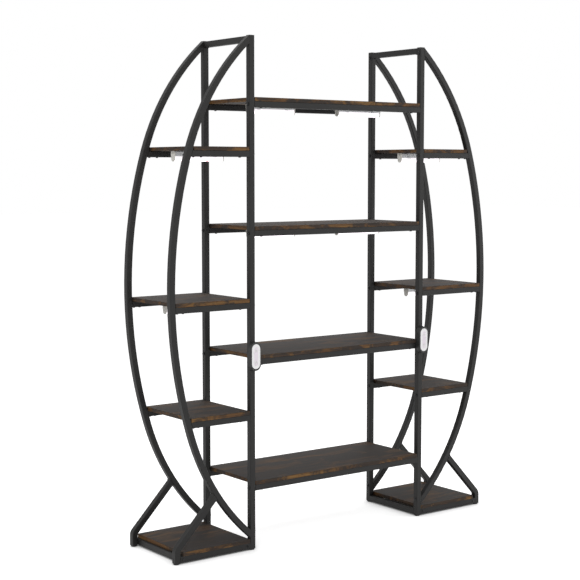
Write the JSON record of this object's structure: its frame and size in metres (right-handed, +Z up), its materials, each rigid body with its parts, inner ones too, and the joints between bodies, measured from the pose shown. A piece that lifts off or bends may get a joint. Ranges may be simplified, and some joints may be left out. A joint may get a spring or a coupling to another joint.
{
  "type": "plant stand with grow lights",
  "caption": "Free-standing oval plant stand of square steel tube: long shelves between two half-moon side units with short shelves, and grow lights under the upper boards.",
  "frame": {"origin": "on the floor, at the middle of the stand's width and of its whole depth", "axes": "+X to the right and +Y to the back, seen from the front with the controllers; +Z up"},
  "size_m": [1.2998, 0.2934, 1.6],
  "materials": {
    "powder_coated_tube": "matt black powder coat",
    "rustic_board": "rustic brown wood-grain board",
    "black_rubber": "matt moulded pad",
    "black_plastic": "fine matt moulding",
    "pale_plastic": "satin moulding",
    "white_plastic": "satin moulding",
    "diffuser_plastic": "frosted",
    "white_led_board": "white solder mask",
    "circuit_board": "green solder mask",
    "light_aluminium": "satin anodised",
    "black_screw_steel": "black oxide",
    "zinc_plated_steel": "zinc plated"
  },
  "bodies": {
    "frame": {"arc_front_left": "powder_coated_tube", "arc_front_right": "powder_coated_tube", "arc_rear_left": "powder_coated_tube", "arc_rear_right": "powder_coated_tube", "board_screws": "black_screw_steel", "controller_circuit_boards": "circuit_board", "controller_covers": "pale_plastic", "controller_housings": "black_plastic", "controller_sockets": "black_plastic", "crossbars": "powder_coated_tube", "foot_inserts": "black_plastic", "frame_bolts": "black_screw_steel", "frame_screws": "black_screw_steel", "leg_welds": "powder_coated_tube", "light_clip_screws": "zinc_plated_steel", "light_clips": "light_aluminium", "light_diffusers": "diffuser_plastic", "light_end_caps": "white_plastic", "light_housings": "light_aluminium", "light_led_boards": "white_led_board", "middle_board_bottom": "rustic_board", "middle_board_lower": "rustic_board", "middle_board_top": "rustic_board", "middle_board_upper": "rustic_board", "middle_shelf_rails": "powder_coated_tube", "outer_leg_front_left": "powder_coated_tube", "outer_leg_front_right": "powder_coated_tube", "outer_leg_rear_left": "powder_coated_tube", "outer_leg_rear_right": "powder_coated_tube", "post_caps": "black_plastic", "post_front_left": "powder_coated_tube", "post_front_right": "powder_coated_tube", "post_rear_left": "powder_coated_tube", "post_rear_right": "powder_coated_tube", "side_board_bottom_left": "rustic_board", "side_board_bottom_right": "rustic_board", "side_board_lower_left": "rustic_board", "side_board_lower_right": "rustic_board", "side_board_top_left": "rustic_board", "side_board_top_right": "rustic_board", "side_board_upper_left": "rustic_board", "side_board_upper_right": "rustic_board", "side_shelf_rails_bottom": "powder_coated_tube", "side_shelf_rails_lower": "powder_coated_tube", "side_shelf_rails_top": "powder_coated_tube", "side_shelf_rails_upper": "powder_coated_tube", "threaded_plugs": "zinc_plated_steel", "tube_spigots": "powder_coated_tube"},
    "foot_inner_front_left": {"foot_inner_front_left": "black_rubber"},
    "foot_inner_front_right": {"foot_inner_front_right": "black_rubber"},
    "foot_inner_rear_left": {"foot_inner_rear_left": "black_rubber"},
    "foot_inner_rear_right": {"foot_inner_rear_right": "black_rubber"},
    "foot_outer_front_left": {"foot_outer_front_left": "black_rubber"},
    "foot_outer_front_right": {"foot_outer_front_right": "black_rubber"},
    "foot_outer_rear_left": {"foot_outer_rear_left": "black_rubber"},
    "foot_outer_rear_right": {"foot_outer_rear_right": "black_rubber"},
    "power_button_left": {"power_button_left": "white_plastic"},
    "power_button_right": {"power_button_right": "white_plastic"},
    "timer_button_left": {"timer_button_left": "white_plastic"},
    "timer_button_right": {"timer_button_right": "white_plastic"}
  },
  "joints": [
    {"name": "foot_inner_front_left_thread", "type": "slide", "parent": "frame", "child": "foot_inner_front_left", "axis": [0, 0, -1], "range_m": [0, 0.012]},
    {"name": "foot_inner_front_right_thread", "type": "slide", "parent": "frame", "child": "foot_inner_front_right", "axis": [0, 0, -1], "range_m": [0, 0.012]},
    {"name": "foot_inner_rear_left_thread", "type": "slide", "parent": "frame", "child": "foot_inner_rear_left", "axis": [0, 0, -1], "range_m": [0, 0.012]},
    {"name": "foot_inner_rear_right_thread", "type": "slide", "parent": "frame", "child": "foot_inner_rear_right", "axis": [0, 0, -1], "range_m": [0, 0.012]},
    {"name": "foot_outer_front_left_thread", "type": "slide", "parent": "frame", "child": "foot_outer_front_left", "axis": [0, 0, -1], "range_m": [0, 0.012]},
    {"name": "foot_outer_front_right_thread", "type": "slide", "parent": "frame", "child": "foot_outer_front_right", "axis": [0, 0, -1], "range_m": [0, 0.012]},
    {"name": "foot_outer_rear_left_thread", "type": "slide", "parent": "frame", "child": "foot_outer_rear_left", "axis": [0, 0, -1], "range_m": [0, 0.012]},
    {"name": "foot_outer_rear_right_thread", "type": "slide", "parent": "frame", "child": "foot_outer_rear_right", "axis": [0, 0, -1], "range_m": [0, 0.012]},
    {"name": "power_button_left_press", "type": "slide", "parent": "frame", "child": "power_button_left", "axis": [0, 1, 0], "range_m": [0, 0.0006], "stiffness_N_per_m": 2000, "springref_m": -0.0003},
    {"name": "power_button_right_press", "type": "slide", "parent": "frame", "child": "power_button_right", "axis": [0, 1, 0], "range_m": [0, 0.0006], "stiffness_N_per_m": 2000, "springref_m": -0.0003},
    {"name": "timer_button_left_press", "type": "slide", "parent": "frame", "child": "timer_button_left", "axis": [0, 1, 0], "range_m": [0, 0.0006], "stiffness_N_per_m": 2000, "springref_m": -0.0003},
    {"name": "timer_button_right_press", "type": "slide", "parent": "frame", "child": "timer_button_right", "axis": [0, 1, 0], "range_m": [0, 0.0006], "stiffness_N_per_m": 2000, "springref_m": -0.0003}
  ]
}
